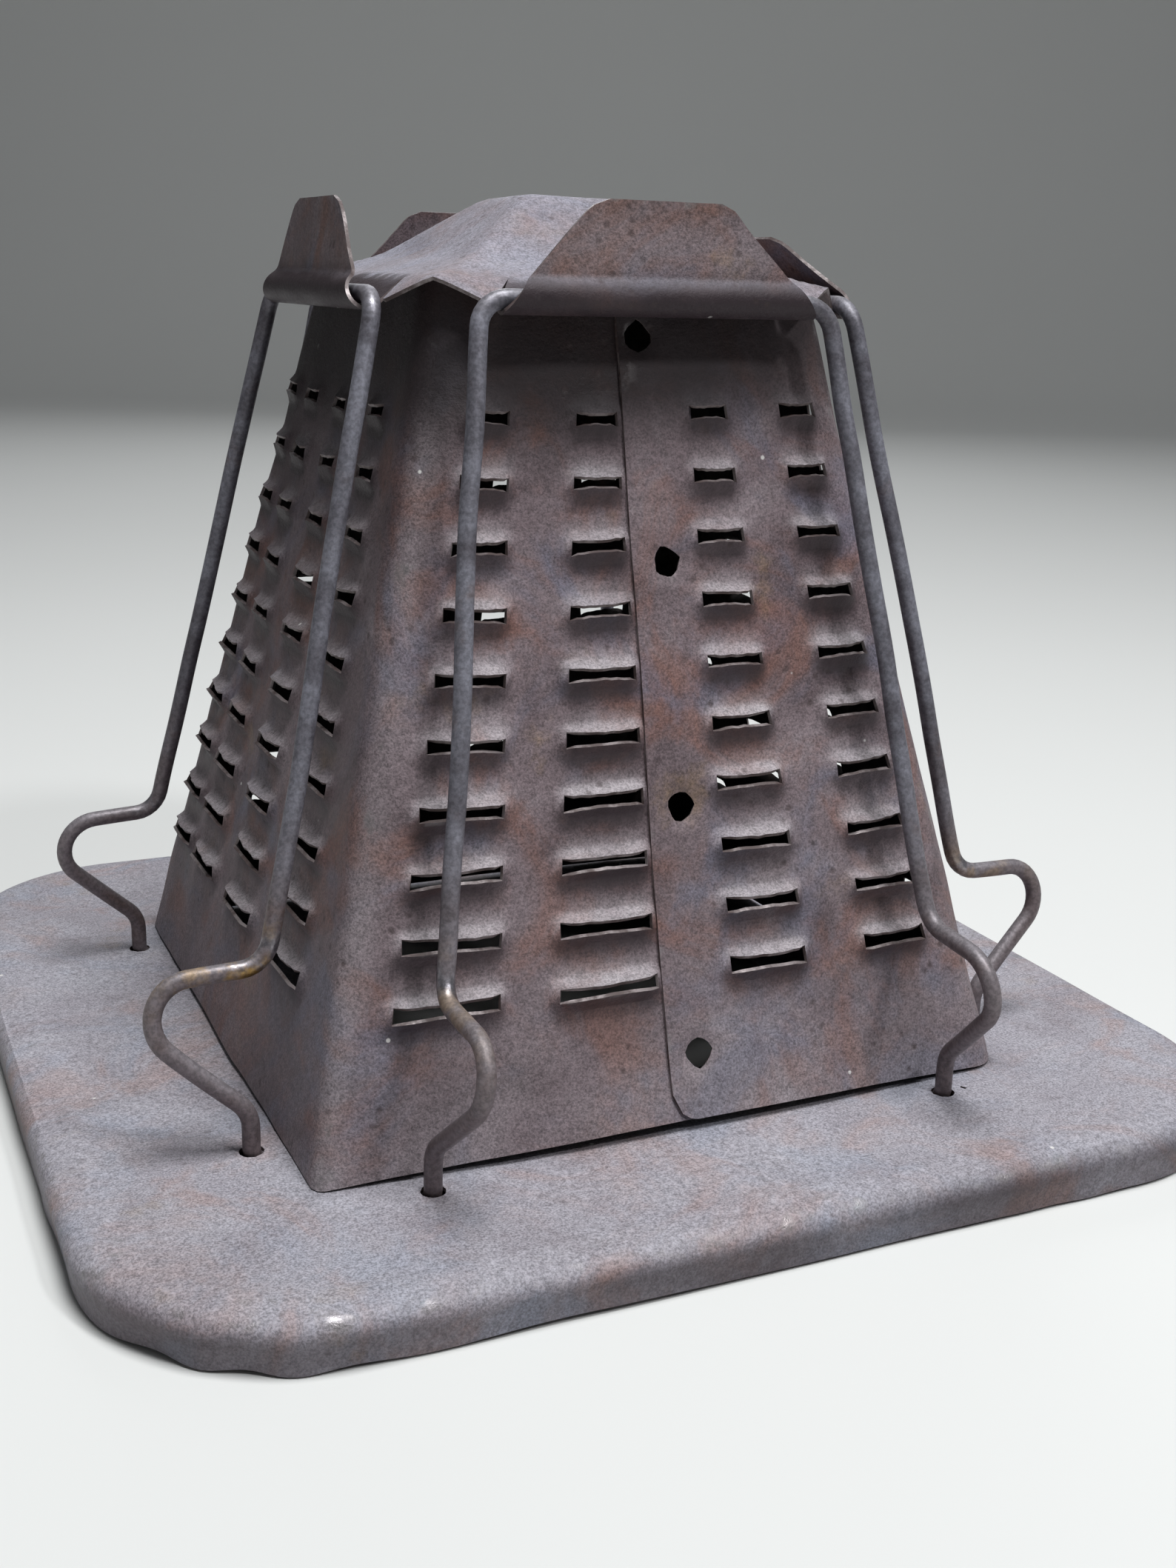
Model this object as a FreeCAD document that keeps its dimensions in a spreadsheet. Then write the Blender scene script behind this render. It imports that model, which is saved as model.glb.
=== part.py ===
import FreeCAD, Part

import math
import os

import Sketcher
from FreeCAD import Placement, Rotation, Vector

# A four-sided stove-top toaster: a louvred sheet-metal tower on a shallow pan, four bent wire
# racks that lean slices of bread against its faces, and a cap whose curled flaps hold the racks.
#
# Frame: origin at the middle of the pan's footprint, on the surface that it stands on; +Z up;
# the tower's lap seam faces -Y. All lengths are millimetres.

doc = FreeCAD.newDocument("stove_top_toaster")

SIZES = {
    "pan_half": (105, "half the width of the square pan"),
    "pan_corner": (37, "corner radius of the pan in plan"),
    "pan_height": (9, "height of the pan's top above the surface it stands on"),
    "pan_sheet": (0.7, "thickness of the pan's sheet"),
    "pan_edge": (4, "outer radius where the pan's top turns down into its rim"),
    "burner_hole": (96, "diameter of the flame opening under the tower"),
    "foot_hole": (4.2, "diameter of the eight holes that the wires pass through"),
    "pin_hole": (1.2, "diameter of the small hole beside one foot"),
    "tower_x": (-1, "offset of the tower's axis from the middle of the pan"),
    "tower_y": (-4.5, "offset of the tower's axis from the middle of the pan"),
    "tower_half": (66, "half the width of the tower at the pan"),
    "tower_slope": (0.2225, "lean of each face: inward travel for each unit of height"),
    "tower_height": (137, "height of the tower above the pan's top"),
    "tower_foot_corner": (4, "corner radius of the tower at the pan"),
    "tower_corner": (9, "corner radius of the tower at its top"),
    "tower_sheet": (0.6, "thickness of the tower's and the cap's sheet"),
    "louvre_first": (26, "height of the lowest row of louvres above the pan's top"),
    "louvre_pitch": (10.1, "height from one row to the next"),
    "louvre_top_width": (7.2, "width of the louvres in the top row"),
    "louvre_sag": (1, "how far the middle of a row hangs below its ends"),
    "louvre_slit": (2, "height of each slit between its two lips"),
    "louvre_lip": (2.3, "how far the lips stand out from the face"),
    "louvre_fade": (3.4, "how far from a slit's middle its lips have run back into the face"),
    "seam_edge": (-4, "where the outer sheet of the lap ends, across the front face"),
    "seam_lift": (0.9, "how much higher the rows punched in the outer sheet sit"),
    "seam_clinch": (1.8, "distance of the lap's joining holes from the middle of the face"),
    "top_clinch": (-1.2, "distance of the top joining hole from the middle of the face"),
    "clinch_hole": (4.6, "diameter of the pierced holes that join the lap"),
    "wire": (3, "diameter of the rack wire"),
    "foot_out": (71.4, "distance of a foot from the tower's axis"),
    "foot_side": (48.3, "half the distance between the two feet of a rack"),
    "rest_out": (95, "distance of the outer bend of the bread rest"),
    "rest_side": (44.4, "half the spread of the rack at that bend"),
    "rest_height": (29, "height of the outer bend above the pan's top"),
    "leg_out": (67.2, "distance of the bend where the leg begins"),
    "leg_side": (45.2, "half the spread of the rack at that bend"),
    "leg_height": (30.6, "height of that bend above the pan's top"),
    "bar_out": (43.9, "distance of the rack's top bar"),
    "bar_side": (31.1, "half the length of the top bar"),
    "bar_height": (134.8, "height of the top bar above the pan's top"),
    "cap_top": (152.2, "height of the cap's flat top above the pan's top"),
    "dome_top": (10, "half width of the cap's raised top"),
    "dome_foot": (25, "half width of the raised part where it meets the shoulders"),
    "dome_foot_height": (141.6, "height of the cap there"),
    "eaves": (36, "half width where the shoulders turn down"),
    "eaves_height": (138, "height of the cap there"),
    "arm_tip": (6, "how far an arm's two tips stand out past the eaves"),
    "arm_tip_side": (28.8, "distance of those tips from the middle of their side"),
    "roll_radius": (2.6, "radius of the curl round a top bar, to the middle of the sheet"),
    "roll_out": (0.3, "how far outside the top bar's centre the curl is centred"),
    "roll_up": (0.7, "how far above the top bar's centre the curl is centred"),
    "flap_half": (27.8, "half the width of a flap at the curl"),
    "tab_length": (11.3, "length of a tab above its bend"),
    "tab_taper": (0.95, "how much each side of a flap draws in for each unit of height"),
    "tab_corner": (4, "radius of a tab's top corners"),
}

sheet = doc.addObject("Spreadsheet::Sheet", "Sizes")
for row, (alias, (value, meaning)) in enumerate(SIZES.items(), start=1):
    sheet.set(f"A{row}", alias)
    sheet.set(f"B{row}", str(value))
    sheet.set(f"C{row}", meaning)
    sheet.setAlias(f"B{row}", alias)
doc.recompute()


def size(alias):
    return float(sheet.get(alias))


# ---------------------------------------------------------------- helpers


def origin_plane(body, role):
    return next(f for f in body.Origin.OriginFeatures if f.Role == role)


def flat_sketch(body, name, height=None):
    """An empty sketch on the body's XY plane, raised by the expression height."""
    sketch = body.newObject("Sketcher::SketchObject", name)
    sketch.AttachmentSupport = (origin_plane(body, "XY_Plane"), [""])
    sketch.MapMode = "FlatFace"
    if height:
        sketch.setExpression("AttachmentOffset.Base.z", height)
    return sketch


def draw_rounded_square(sketch, half, corner, half_formula, corner_formula):
    """Four sides and four corner arcs, held by a half width and a corner radius."""
    flat = half - corner
    arcs = []
    for turn in range(4):
        start = math.radians(90 * turn)
        centre = Rotation(90 * turn, 0, 0).multVec(Vector(flat, flat, 0))
        circle = Part.Circle(centre, Vector(0, 0, 1), corner)
        arcs.append(sketch.addGeometry(Part.ArcOfCircle(circle, start, start + math.pi / 2)))
    sides = []
    for turn in range(4):
        spin = Rotation(90 * turn, 0, 0)
        side = Part.LineSegment(
            spin.multVec(Vector(flat, half, 0)), spin.multVec(Vector(-flat, half, 0))
        )
        sides.append(sketch.addGeometry(side))
    add = sketch.addConstraint
    for turn in range(4):
        add(Sketcher.Constraint("Tangent", arcs[turn], 2, sides[turn], 1))
        add(Sketcher.Constraint("Tangent", sides[turn], 2, arcs[(turn + 1) % 4], 1))
        add(Sketcher.Constraint("Vertical" if turn % 2 else "Horizontal", sides[turn]))
    for turn in range(1, 4):
        add(Sketcher.Constraint("Equal", arcs[0], arcs[turn]))
    radius = add(Sketcher.Constraint("Radius", arcs[0], corner))
    sketch.setExpression(f"Constraints[{radius}]", corner_formula)
    for turn, kind in enumerate(("DistanceY", "DistanceX", "DistanceY", "DistanceX")):
        outward = turn in (0, 3)
        ends = (-1, 1, sides[turn], 1) if outward else (sides[turn], 1, -1, 1)
        reach = add(Sketcher.Constraint(kind, *ends, half))
        sketch.setExpression(f"Constraints[{reach}]", half_formula)


def draw_circle(sketch, x, y, diameter_formula, diameter, place_formula):
    """A circle about x, y; place_formula binds its centre to the sheet."""
    circle = sketch.addGeometry(
        Part.Circle(Vector(x, y, 0), Vector(0, 0, 1), diameter / 2)
    )
    width = sketch.addConstraint(Sketcher.Constraint("Diameter", circle, diameter))
    sketch.setExpression(f"Constraints[{width}]", diameter_formula)
    for kind, value, formula in zip(("DistanceX", "DistanceY"), (x, y), place_formula):
        if value >= 0:
            ends, sign = (-1, 1, circle, 3), ""
        else:
            ends, sign = (circle, 3, -1, 1), "-1 * "
        place = sketch.addConstraint(Sketcher.Constraint(kind, *ends, abs(value)))
        sketch.setExpression(f"Constraints[{place}]", f"{sign}({formula})")


def bind_placement(thing):
    """Stand a piece drawn about the tower's axis, from the pan's top, in its place."""
    thing.setExpression("Placement.Base.x", "Sizes.tower_x")
    thing.setExpression("Placement.Base.y", "Sizes.tower_y")
    thing.setExpression("Placement.Base.z", "Sizes.pan_height")


def feature(name, shape, turn=0):
    """A document object for a shape drawn about the tower's axis, turned onto one side."""
    thing = doc.addObject("Part::Feature", name)
    thing.Shape = shape
    place = Vector(size("tower_x"), size("tower_y"), size("pan_height"))
    thing.Placement = Placement(place, Rotation(90 * turn, 0, 0))
    return thing


def bent_path(corners, radii):
    """Straight runs between the corners, joined by tangent arcs."""
    edges = []
    start = corners[0]
    for before, corner, after, radius in zip(corners, corners[1:], corners[2:], radii):
        towards = (before - corner).normalize()
        away = (after - corner).normalize()
        half_angle = towards.getAngle(away) / 2
        reach = radius / math.tan(half_angle)
        bisector = (towards + away).normalize()
        middle = corner + bisector * (radius / math.sin(half_angle) - radius)
        arc_start = corner + towards * reach
        arc_end = corner + away * reach
        edges.append(Part.LineSegment(start, arc_start).toShape())
        edges.append(Part.Arc(arc_start, middle, arc_end).toShape())
        start = arc_end
    edges.append(Part.LineSegment(start, corners[-1]).toShape())
    return Part.Wire(edges)


# ---------------------------------------------------------------- base pan


def make_base_pan():
    """A pressed square tray, upside down, with a flame opening and eight wire holes."""
    body = doc.addObject("PartDesign::Body", "base_pan")
    outline = flat_sketch(body, "pan_outline")
    draw_rounded_square(
        outline, size("pan_half"), size("pan_corner"), "Sizes.pan_half", "Sizes.pan_corner"
    )
    block = body.newObject("PartDesign::Pad", "pan_block")
    block.Profile = outline
    block.setExpression("Length", "Sizes.pan_height")
    doc.recompute()

    height = size("pan_height")
    top_edges = [
        f"Edge{i}"
        for i, edge in enumerate(block.Shape.Edges, start=1)
        if all(abs(v.Z - height) < 1e-6 for v in edge.Vertexes)
    ]
    rounded = body.newObject("PartDesign::Fillet", "pan_edge_round")
    rounded.Base = (block, top_edges)
    rounded.setExpression("Radius", "Sizes.pan_edge")
    doc.recompute()

    underside = next(
        f"Face{i}"
        for i, face in enumerate(rounded.Shape.Faces, start=1)
        if face.BoundBox.ZMax < 1e-6
    )
    hollow = body.newObject("PartDesign::Thickness", "pan_hollow")
    hollow.Base = (rounded, [underside])
    hollow.Mode = "Skin"
    hollow.Join = "Arc"
    hollow.Reversed = True
    hollow.setExpression("Value", "Sizes.pan_sheet")
    doc.recompute()

    holes = flat_sketch(body, "pan_holes", "Sizes.pan_height")
    draw_circle(
        holes,
        size("tower_x"),
        size("tower_y"),
        "Sizes.burner_hole",
        size("burner_hole"),
        ("Sizes.tower_x", "Sizes.tower_y"),
    )
    foot_out, foot_side = size("foot_out"), size("foot_side")
    across = (("foot_side", foot_side), ("foot_side", -foot_side))
    outward = (("foot_out", foot_out), ("foot_out", -foot_out))
    feet = [(a, b) for a in across for b in outward] + [(b, a) for a in across for b in outward]
    for (x_name, x), (y_name, y) in feet:
        x_sign = "+" if x > 0 else "-"
        y_sign = "+" if y > 0 else "-"
        draw_circle(
            holes,
            size("tower_x") + x,
            size("tower_y") + y,
            "Sizes.foot_hole",
            size("foot_hole"),
            (f"Sizes.tower_x {x_sign} Sizes.{x_name}", f"Sizes.tower_y {y_sign} Sizes.{y_name}"),
        )
    beside_foot = 4.5
    draw_circle(
        holes,
        size("tower_x") + foot_side + beside_foot,
        size("tower_y") - foot_out,
        "Sizes.pin_hole",
        size("pin_hole"),
        (f"Sizes.tower_x + Sizes.foot_side + {beside_foot}", "Sizes.tower_y - Sizes.foot_out"),
    )
    pierced = body.newObject("PartDesign::Pocket", "pan_pierced")
    pierced.Profile = holes
    pierced.Length = 2 * size("pan_edge")
    doc.recompute()
    if pierced.Shape.Volume >= hollow.Shape.Volume:
        raise SystemExit("the pan's holes cut nothing")
    return body


# ---------------------------------------------------------------- tower


def face_half(height):
    """Distance from the tower's axis to the outside of a face at a height above the pan."""
    return size("tower_half") - size("tower_slope") * height


def make_tower_sheet():
    """The folded sheet itself: a tapering square tube with rounded corners."""
    body = doc.addObject("PartDesign::Body", "tower_sheet")
    top = size("tower_height")
    top_half = "Sizes.tower_half - Sizes.tower_slope * Sizes.tower_height"
    for name, kind, wall, wall_formula in (
        ("tower_outside", "PartDesign::AdditiveLoft", 0, ""),
        ("tower_inside", "PartDesign::SubtractiveLoft", size("tower_sheet"), " - Sizes.tower_sheet"),
    ):
        foot = flat_sketch(body, name + "_foot")
        draw_rounded_square(
            foot,
            size("tower_half") - wall,
            size("tower_foot_corner") - wall,
            "Sizes.tower_half" + wall_formula,
            "Sizes.tower_foot_corner" + wall_formula,
        )
        head = flat_sketch(body, name + "_head", "Sizes.tower_height")
        draw_rounded_square(
            head,
            face_half(top) - wall,
            size("tower_corner") - wall,
            top_half + wall_formula,
            "Sizes.tower_corner" + wall_formula,
        )
        loft = body.newObject(kind, name)
        loft.Profile = foot
        loft.Sections = [head]
        loft.Ruled = True
        doc.recompute()
    bind_placement(body)
    return body


# Columns of louvres on each face, anticlockwise round the tower: the middle of the column, as a
# fraction of the face's half width, and the width of its lowest louvre. The front's last two
# are punched in the outer sheet of the lap, whose rows sit a little higher.
COLUMNS = {
    "front": ((-0.705, 18), (-0.237, 18), (0.266, 15), (0.705, 13)),
    "right": ((-0.70, 14), (-0.22, 15), (0.24, 15), (0.70, 14)),
    "back": ((-0.70, 14), (-0.24, 15), (0.24, 15), (0.70, 14)),
    "left": ((-0.75, 14), (-0.42, 15.5), (0.03, 17), (0.54, 17)),
}
SIDES = tuple(COLUMNS)
ROWS = 10


def on_face(turn, across, height):
    """The outward, upward and sideways directions of a face, and a point on its outside."""
    spin = Rotation(90 * turn, 0, 0)
    lean = math.atan(size("tower_slope"))
    outward = spin.multVec(Vector(0, -math.cos(lean), math.sin(lean)))
    upward = spin.multVec(Vector(0, math.sin(lean), math.cos(lean)))
    sideways = spin.multVec(Vector(1, 0, 0))
    point = spin.multVec(Vector(across, -face_half(height), height))
    return point, sideways, outward, upward


def louvre_prism(turn, across, height, width, profile):
    """A profile of (outward, upward) points on a face, drawn sideways over a width."""
    point, sideways, outward, upward = on_face(turn, across - width / 2, height)
    corners = [point + outward * n + upward * u for n, u in profile]
    return Part.Face(Part.makePolygon(corners + corners[:1])).extrude(sideways * width)


def louvre_places():
    """Every louvre as (side, distance across the face, height, width)."""
    for turn, side in enumerate(SIDES):
        for column, (middle, width) in enumerate(COLUMNS[side]):
            on_outer_sheet = side == "front" and column > 1
            lift = size("seam_lift") if on_outer_sheet else 0
            for row in range(ROWS):
                height = size("louvre_first") + size("louvre_pitch") * row + lift
                height -= size("louvre_sag") * (1 - middle**2)
                narrowing = (width - size("louvre_top_width")) * row / (ROWS - 1)
                yield turn, middle * face_half(height), height, width - narrowing


def make_tower(sheet_body):
    """The sheet with its lap, its rows of louvres and the holes that join the lap."""
    wall = size("tower_sheet")
    lip = size("louvre_lip")
    slit = size("louvre_slit") / 2
    fade = size("louvre_fade")
    ridge = [(-wall / 2, -fade), (lip, -slit), (lip, slit), (-wall / 2, fade)]
    slope = (fade - slit) / (lip + wall / 2)
    drop = wall * math.hypot(1, slope)
    inside = -1.5 * wall
    reach = slit + slope * (lip - inside) - drop
    mouth = lip - (drop / slope)
    beyond = lip + 2 * wall
    hollow = [
        (inside, -reach),
        (mouth, -slit),
        (beyond, -slit),
        (beyond, slit),
        (mouth, slit),
        (inside, reach),
    ]
    ridges, hollows = [], []
    for turn, across, height, width in louvre_places():
        ridges.append(louvre_prism(turn, across, height, width, ridge))
        hollows.append(louvre_prism(turn, across, height, width - 2 * wall, hollow))

    lap_rings = []
    for height in (0, size("tower_height")):
        half = face_half(height)
        far = half - size("tower_corner")
        near = size("seam_edge")
        corners = ((near, -wall / 2), (near, wall), (-near, wall), (far, 0), (far, -wall / 2))
        ring = [Vector(x, -half - proud, height) for x, proud in corners]
        lap_rings.append(Part.makePolygon(ring + ring[:1]))
    lap = Part.makeLoft(lap_rings, True, True)

    clinches = []
    clinch_places = ((12, "seam_clinch"), (53, "seam_clinch"), (93, "seam_clinch"), (129, "top_clinch"))
    for height, place in clinch_places:
        point, _, outward, _ = on_face(0, size(place), height)
        clinches.append(
            Part.makeCylinder(size("clinch_hole") / 2, 8 * wall, point - outward * 4 * wall, outward)
        )

    raised = feature("louvre_ridges", Part.makeCompound(ridges))
    lapped = feature("seam_lap", lap)
    pierced = feature("louvre_hollows", Part.makeCompound(hollows + clinches))
    formed = doc.addObject("Part::MultiFuse", "tower_formed")
    formed.Shapes = [sheet_body, lapped, raised]
    tower = doc.addObject("Part::Cut", "tower_shell")
    tower.Base = formed
    tower.Tool = pierced
    return tower


# ---------------------------------------------------------------- cap


def sheet_path(start, heading, moves):
    """A planar run of straight and tangent arc stretches in the XZ plane.

    Each move is ("line", length) or ("arc", radius, turn in degrees, positive to the left).
    """
    edges = []
    here = start
    for move in moves:
        ahead = Vector(math.cos(heading), 0, math.sin(heading))
        if move[0] == "line":
            there = here + ahead * move[1]
            edges.append(Part.LineSegment(here, there).toShape())
        else:
            _, radius, turn = move
            swing = math.radians(turn)
            side = math.copysign(1, turn)
            left = Vector(-ahead.z, 0, ahead.x)
            centre = here + left * (radius * side)

            def around(angle):
                spoke = here - centre
                c, s = math.cos(angle), math.sin(angle)
                return centre + Vector(spoke.x * c - spoke.z * s, 0, spoke.x * s + spoke.z * c)

            there = around(swing)
            edges.append(Part.Arc(here, around(swing / 2), there).toShape())
            heading += swing
        here = there
    return Part.Wire(edges)


def roll_approach():
    """The straight run from the eaves to the curl: its length and its downward angle."""
    start = Vector(size("eaves"), 0, size("eaves_height"))
    centre = Vector(size("bar_out") + size("roll_out"), 0, size("bar_height") + size("roll_up"))
    gap = centre - start
    radius = size("roll_radius")
    heading = math.atan2(gap.z, gap.x) - math.asin(radius / gap.Length)
    return math.sqrt(gap.Length**2 - radius**2), heading


def roof_height(reach):
    """Height of the cap's top face where the larger of |x| and |y| is reach."""
    eaves_slope = math.tan(roll_approach()[1])
    tip = size("arm_tip")
    levels = (
        (0, size("cap_top")),
        (size("dome_top"), size("cap_top")),
        (size("dome_foot"), size("dome_foot_height")),
        (size("eaves"), size("eaves_height")),
        (size("eaves") + tip, size("eaves_height") + tip * eaves_slope),
    )
    for (near, z_near), (far, z_far) in zip(levels, levels[1:]):
        if reach <= far:
            return z_near + (z_far - z_near) * (reach - near) / (far - near)


def roof_facet(points):
    """One flat facet of the cap, given in plan, at the sheet's thickness."""
    corners = [Vector(x, y, roof_height(max(abs(x), abs(y)))) for x, y in points]
    face = Part.Face(Part.makePolygon(corners + corners[:1]))
    return face.extrude(Vector(0, 0, -size("tower_sheet")))


# The direction of each tab, in degrees from straight out: 90 stands upright, more leans in.
TAB_LEAN = {"front": 95, "right": 132, "back": 97, "left": 93}


def make_flap(upright):
    """One flap, on the +X side: it runs out under the bar, curls up round it and stands up."""
    wall = size("tower_sheet")
    half = size("flap_half")
    start = Vector(size("eaves"), 0, size("eaves_height") - wall / 2)
    run, fall = roll_approach()
    over_bar = 140
    moves = (
        ("line", run),
        ("arc", size("roll_radius"), over_bar - math.degrees(fall)),
        ("line", 0.5),
        ("arc", 2, upright - over_bar),
        ("line", size("tab_length")),
    )
    path = sheet_path(start, fall, moves)
    across = Vector(-math.sin(fall), 0, math.cos(fall)) * (wall / 2)
    along = Vector(0, half, 0)
    ring = [start + a * across + b * along for a, b in ((-1, -1), (-1, 1), (1, 1), (1, -1))]
    strip = path.makePipeShell([Part.makePolygon(ring + ring[:1])], True, False)

    bottom = size("bar_height") - size("wire") / 2
    top = max(vertex.Z for vertex in path.Vertexes)
    shoulder = half - (top - bottom) * size("tab_taper")
    outline = [(-half, bottom - 2), (half, bottom - 2), (half, bottom), (shoulder, top)]
    outline += [(-shoulder, top), (-half, bottom)]
    corners = [Vector(0, y, z) for y, z in outline]
    blank = Part.Face(Part.makePolygon(corners + corners[:1])).extrude(Vector(60, 0, 0))
    top_corners = [
        edge
        for edge in blank.Edges
        if all(abs(v.Z - top) < 1e-6 for v in edge.Vertexes) and abs(edge.tangentAt(0).x) > 0.9
    ]
    return strip.common(blank.makeFillet(size("tab_corner"), top_corners))


def make_cap():
    """A pressed four-sided roof with cropped corners and a curled flap on each side."""
    top, foot, eaves = size("dome_top"), size("dome_foot"), size("eaves")
    tip = eaves + size("arm_tip")
    tip_side = size("arm_tip_side")
    bar_bottom = size("bar_height") - size("wire") / 2
    slot = size("flap_half") - size("tab_taper") * (size("eaves_height") - bar_bottom)
    bands = (
        [(top, -top), (foot, -foot), (foot, foot), (top, top)],
        [(foot, -foot), (eaves, -eaves), (eaves, eaves), (foot, foot)],
        [(eaves, slot), (tip, tip_side), (eaves, eaves)],
        [(eaves, -eaves), (tip, -tip_side), (eaves, -slot)],
    )
    pieces = [roof_facet([(top, top), (-top, top), (-top, -top), (top, -top)])]
    for turn, side in enumerate(SIDES):
        from_x = Placement(Vector(), Rotation(90 * (turn - 1), 0, 0)).toMatrix()
        pieces += [roof_facet(band).transformed(from_x) for band in bands]
        pieces.append(make_flap(TAB_LEAN[side]).transformed(from_x))
    return feature("top_cap", pieces[0].fuse(pieces[1:]).removeSplitter())


# ---------------------------------------------------------------- wire racks


def make_rack_shape():
    """One rack, for the front face: two feet, two bread rests, two legs and a top bar."""
    radius = size("wire") / 2
    under = -size("pan_sheet") - radius - 0.1
    clinched = 8
    side = [
        Vector(size("foot_side"), -size("foot_out") + clinched, under),
        Vector(size("foot_side"), -size("foot_out"), under),
        Vector(size("foot_side"), -size("foot_out"), 7),
        Vector(size("rest_side"), -size("rest_out"), size("rest_height")),
        Vector(size("leg_side"), -size("leg_out"), size("leg_height")),
        Vector(size("bar_side"), -size("bar_out"), size("bar_height")),
    ]
    other = [Vector(-p.x, p.y, p.z) for p in reversed(side)]
    bends = [2.5, 6, 6.5, 5.5, 5]
    path = bent_path(side + other, bends + bends[::-1])
    profile = Part.Wire(Part.makeCircle(radius, side[0], Vector(0, -1, 0)))
    rack = path.makePipeShell([profile], True, False)
    expected = math.pi * radius**2 * path.Length
    if abs(rack.Volume / expected - 1) > 0.01:
        raise SystemExit(f"rack volume {rack.Volume:.0f}, expected {expected:.0f}")
    return rack


# ---------------------------------------------------------------- assembly

pieces = [make_base_pan(), make_tower(make_tower_sheet()), make_cap()]
rack_shape = make_rack_shape()
for turn, side in enumerate(SIDES):
    pieces.append(feature(f"rack_wire_{side}", rack_shape.copy(), turn))
for piece in pieces:
    piece.Label = piece.Name
doc.recompute()

for thing in doc.Objects:
    if {"Invalid", "Error"} & set(thing.State):
        raise SystemExit(f"{thing.Name} failed: {thing.State}")
for piece in pieces:
    if piece.Shape.isNull() or not piece.Shape.isValid():
        raise SystemExit(f"{piece.Label} has no valid shape")

os.makedirs("parts", exist_ok=True)
for piece in pieces:
    piece.Shape.exportStep(f"parts/{piece.Label}.step")
    box = piece.Shape.BoundBox
    print(
        f"{piece.Label}: {len(piece.Shape.Solids)} solid(s), {piece.Shape.Volume:.0f} mm3,",
        f"z {box.ZMin:.2f} to {box.ZMax:.2f}",
    )
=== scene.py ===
import math
import random

import bmesh
import bpy
import numpy as np
from mathutils import Matrix, Vector, noise


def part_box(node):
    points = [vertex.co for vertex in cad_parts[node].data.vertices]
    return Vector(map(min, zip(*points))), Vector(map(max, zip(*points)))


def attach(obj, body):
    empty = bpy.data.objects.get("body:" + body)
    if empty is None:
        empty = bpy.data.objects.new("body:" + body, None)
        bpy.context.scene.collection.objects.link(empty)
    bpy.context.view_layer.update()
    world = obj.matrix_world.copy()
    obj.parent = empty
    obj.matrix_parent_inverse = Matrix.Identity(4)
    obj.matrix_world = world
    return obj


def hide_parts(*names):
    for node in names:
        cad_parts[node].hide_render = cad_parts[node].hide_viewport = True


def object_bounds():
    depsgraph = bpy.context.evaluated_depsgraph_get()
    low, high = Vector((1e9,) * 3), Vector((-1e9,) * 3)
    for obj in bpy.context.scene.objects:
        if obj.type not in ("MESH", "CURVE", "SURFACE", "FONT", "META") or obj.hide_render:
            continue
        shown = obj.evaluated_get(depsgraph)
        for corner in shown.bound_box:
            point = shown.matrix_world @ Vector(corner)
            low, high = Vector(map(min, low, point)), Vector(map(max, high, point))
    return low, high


# The looks of a four-sided stove-top toaster: aged, dusty sheet metal and bent wire. Lengths are
# millimetres about the tower's axis, from the pan's top, until mesh_object turns them to metres.

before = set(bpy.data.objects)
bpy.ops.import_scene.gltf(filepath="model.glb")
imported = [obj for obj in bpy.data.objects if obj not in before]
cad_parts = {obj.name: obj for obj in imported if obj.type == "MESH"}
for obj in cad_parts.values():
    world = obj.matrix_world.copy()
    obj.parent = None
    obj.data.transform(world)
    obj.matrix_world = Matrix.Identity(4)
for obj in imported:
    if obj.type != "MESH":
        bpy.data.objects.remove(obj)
cad_low, cad_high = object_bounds()

MM = 0.001
tower_low, tower_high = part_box("tower_shell")
TOWER_HALF = (tower_high.x - tower_low.x) / 2 / MM
ORIGIN = Vector(
    ((tower_low.x + tower_high.x) / 2, tower_high.y - TOWER_HALF * MM, tower_low.z)
)
TOWER_HEIGHT = (tower_high.z - tower_low.z) / MM
PAN_HEIGHT = (tower_low.z - cad_low.z) / MM
PAN_HALF = (cad_high.x - cad_low.x) / 2 / MM
PAN_CENTRE = (-ORIGIN.x / MM, -ORIGIN.y / MM)
CAP_TOP = (cad_high.z - ORIGIN.z) / MM

SHEET = 0.6  # thickness of the tower's and the cap's sheet
SHEET_CREASE, WIRE_CREASE = 38, 50  # degrees at which folds of sheet, and ends of wire, look sharp
SIDES = ("front", "right", "back", "left")
random.seed(7)


# ---------------------------------------------------------------- helpers


def smoothstep(low, high, value):
    t = np.clip((value - low) / (high - low), 0, 1)
    return t * t * (3 - 2 * t)


def wobble(points, lump, seed):
    """Smooth noise at each point, about -1 to 1, whose lumps are so many millimetres wide."""
    shift = Vector((seed * 17.3, seed * 5.1, seed * 11.7))
    return np.array([1.6 * noise.noise(Vector(p) / lump + shift) for p in points])


def turned(points, quarter_turns):
    """Points about the tower's axis, turned anticlockwise by quarter turns."""
    angle = math.pi / 2 * quarter_turns
    c, s = math.cos(angle), math.sin(angle)
    x, y, z = np.asarray(points, float).T
    return np.stack([c * x - s * y, s * x + c * y, z], axis=1)


def placed_object(name, data):
    """A new object that shows a mesh, a light or a camera in the scene."""
    obj = bpy.data.objects.new(name, data)
    bpy.context.scene.collection.objects.link(obj)
    return obj


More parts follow.
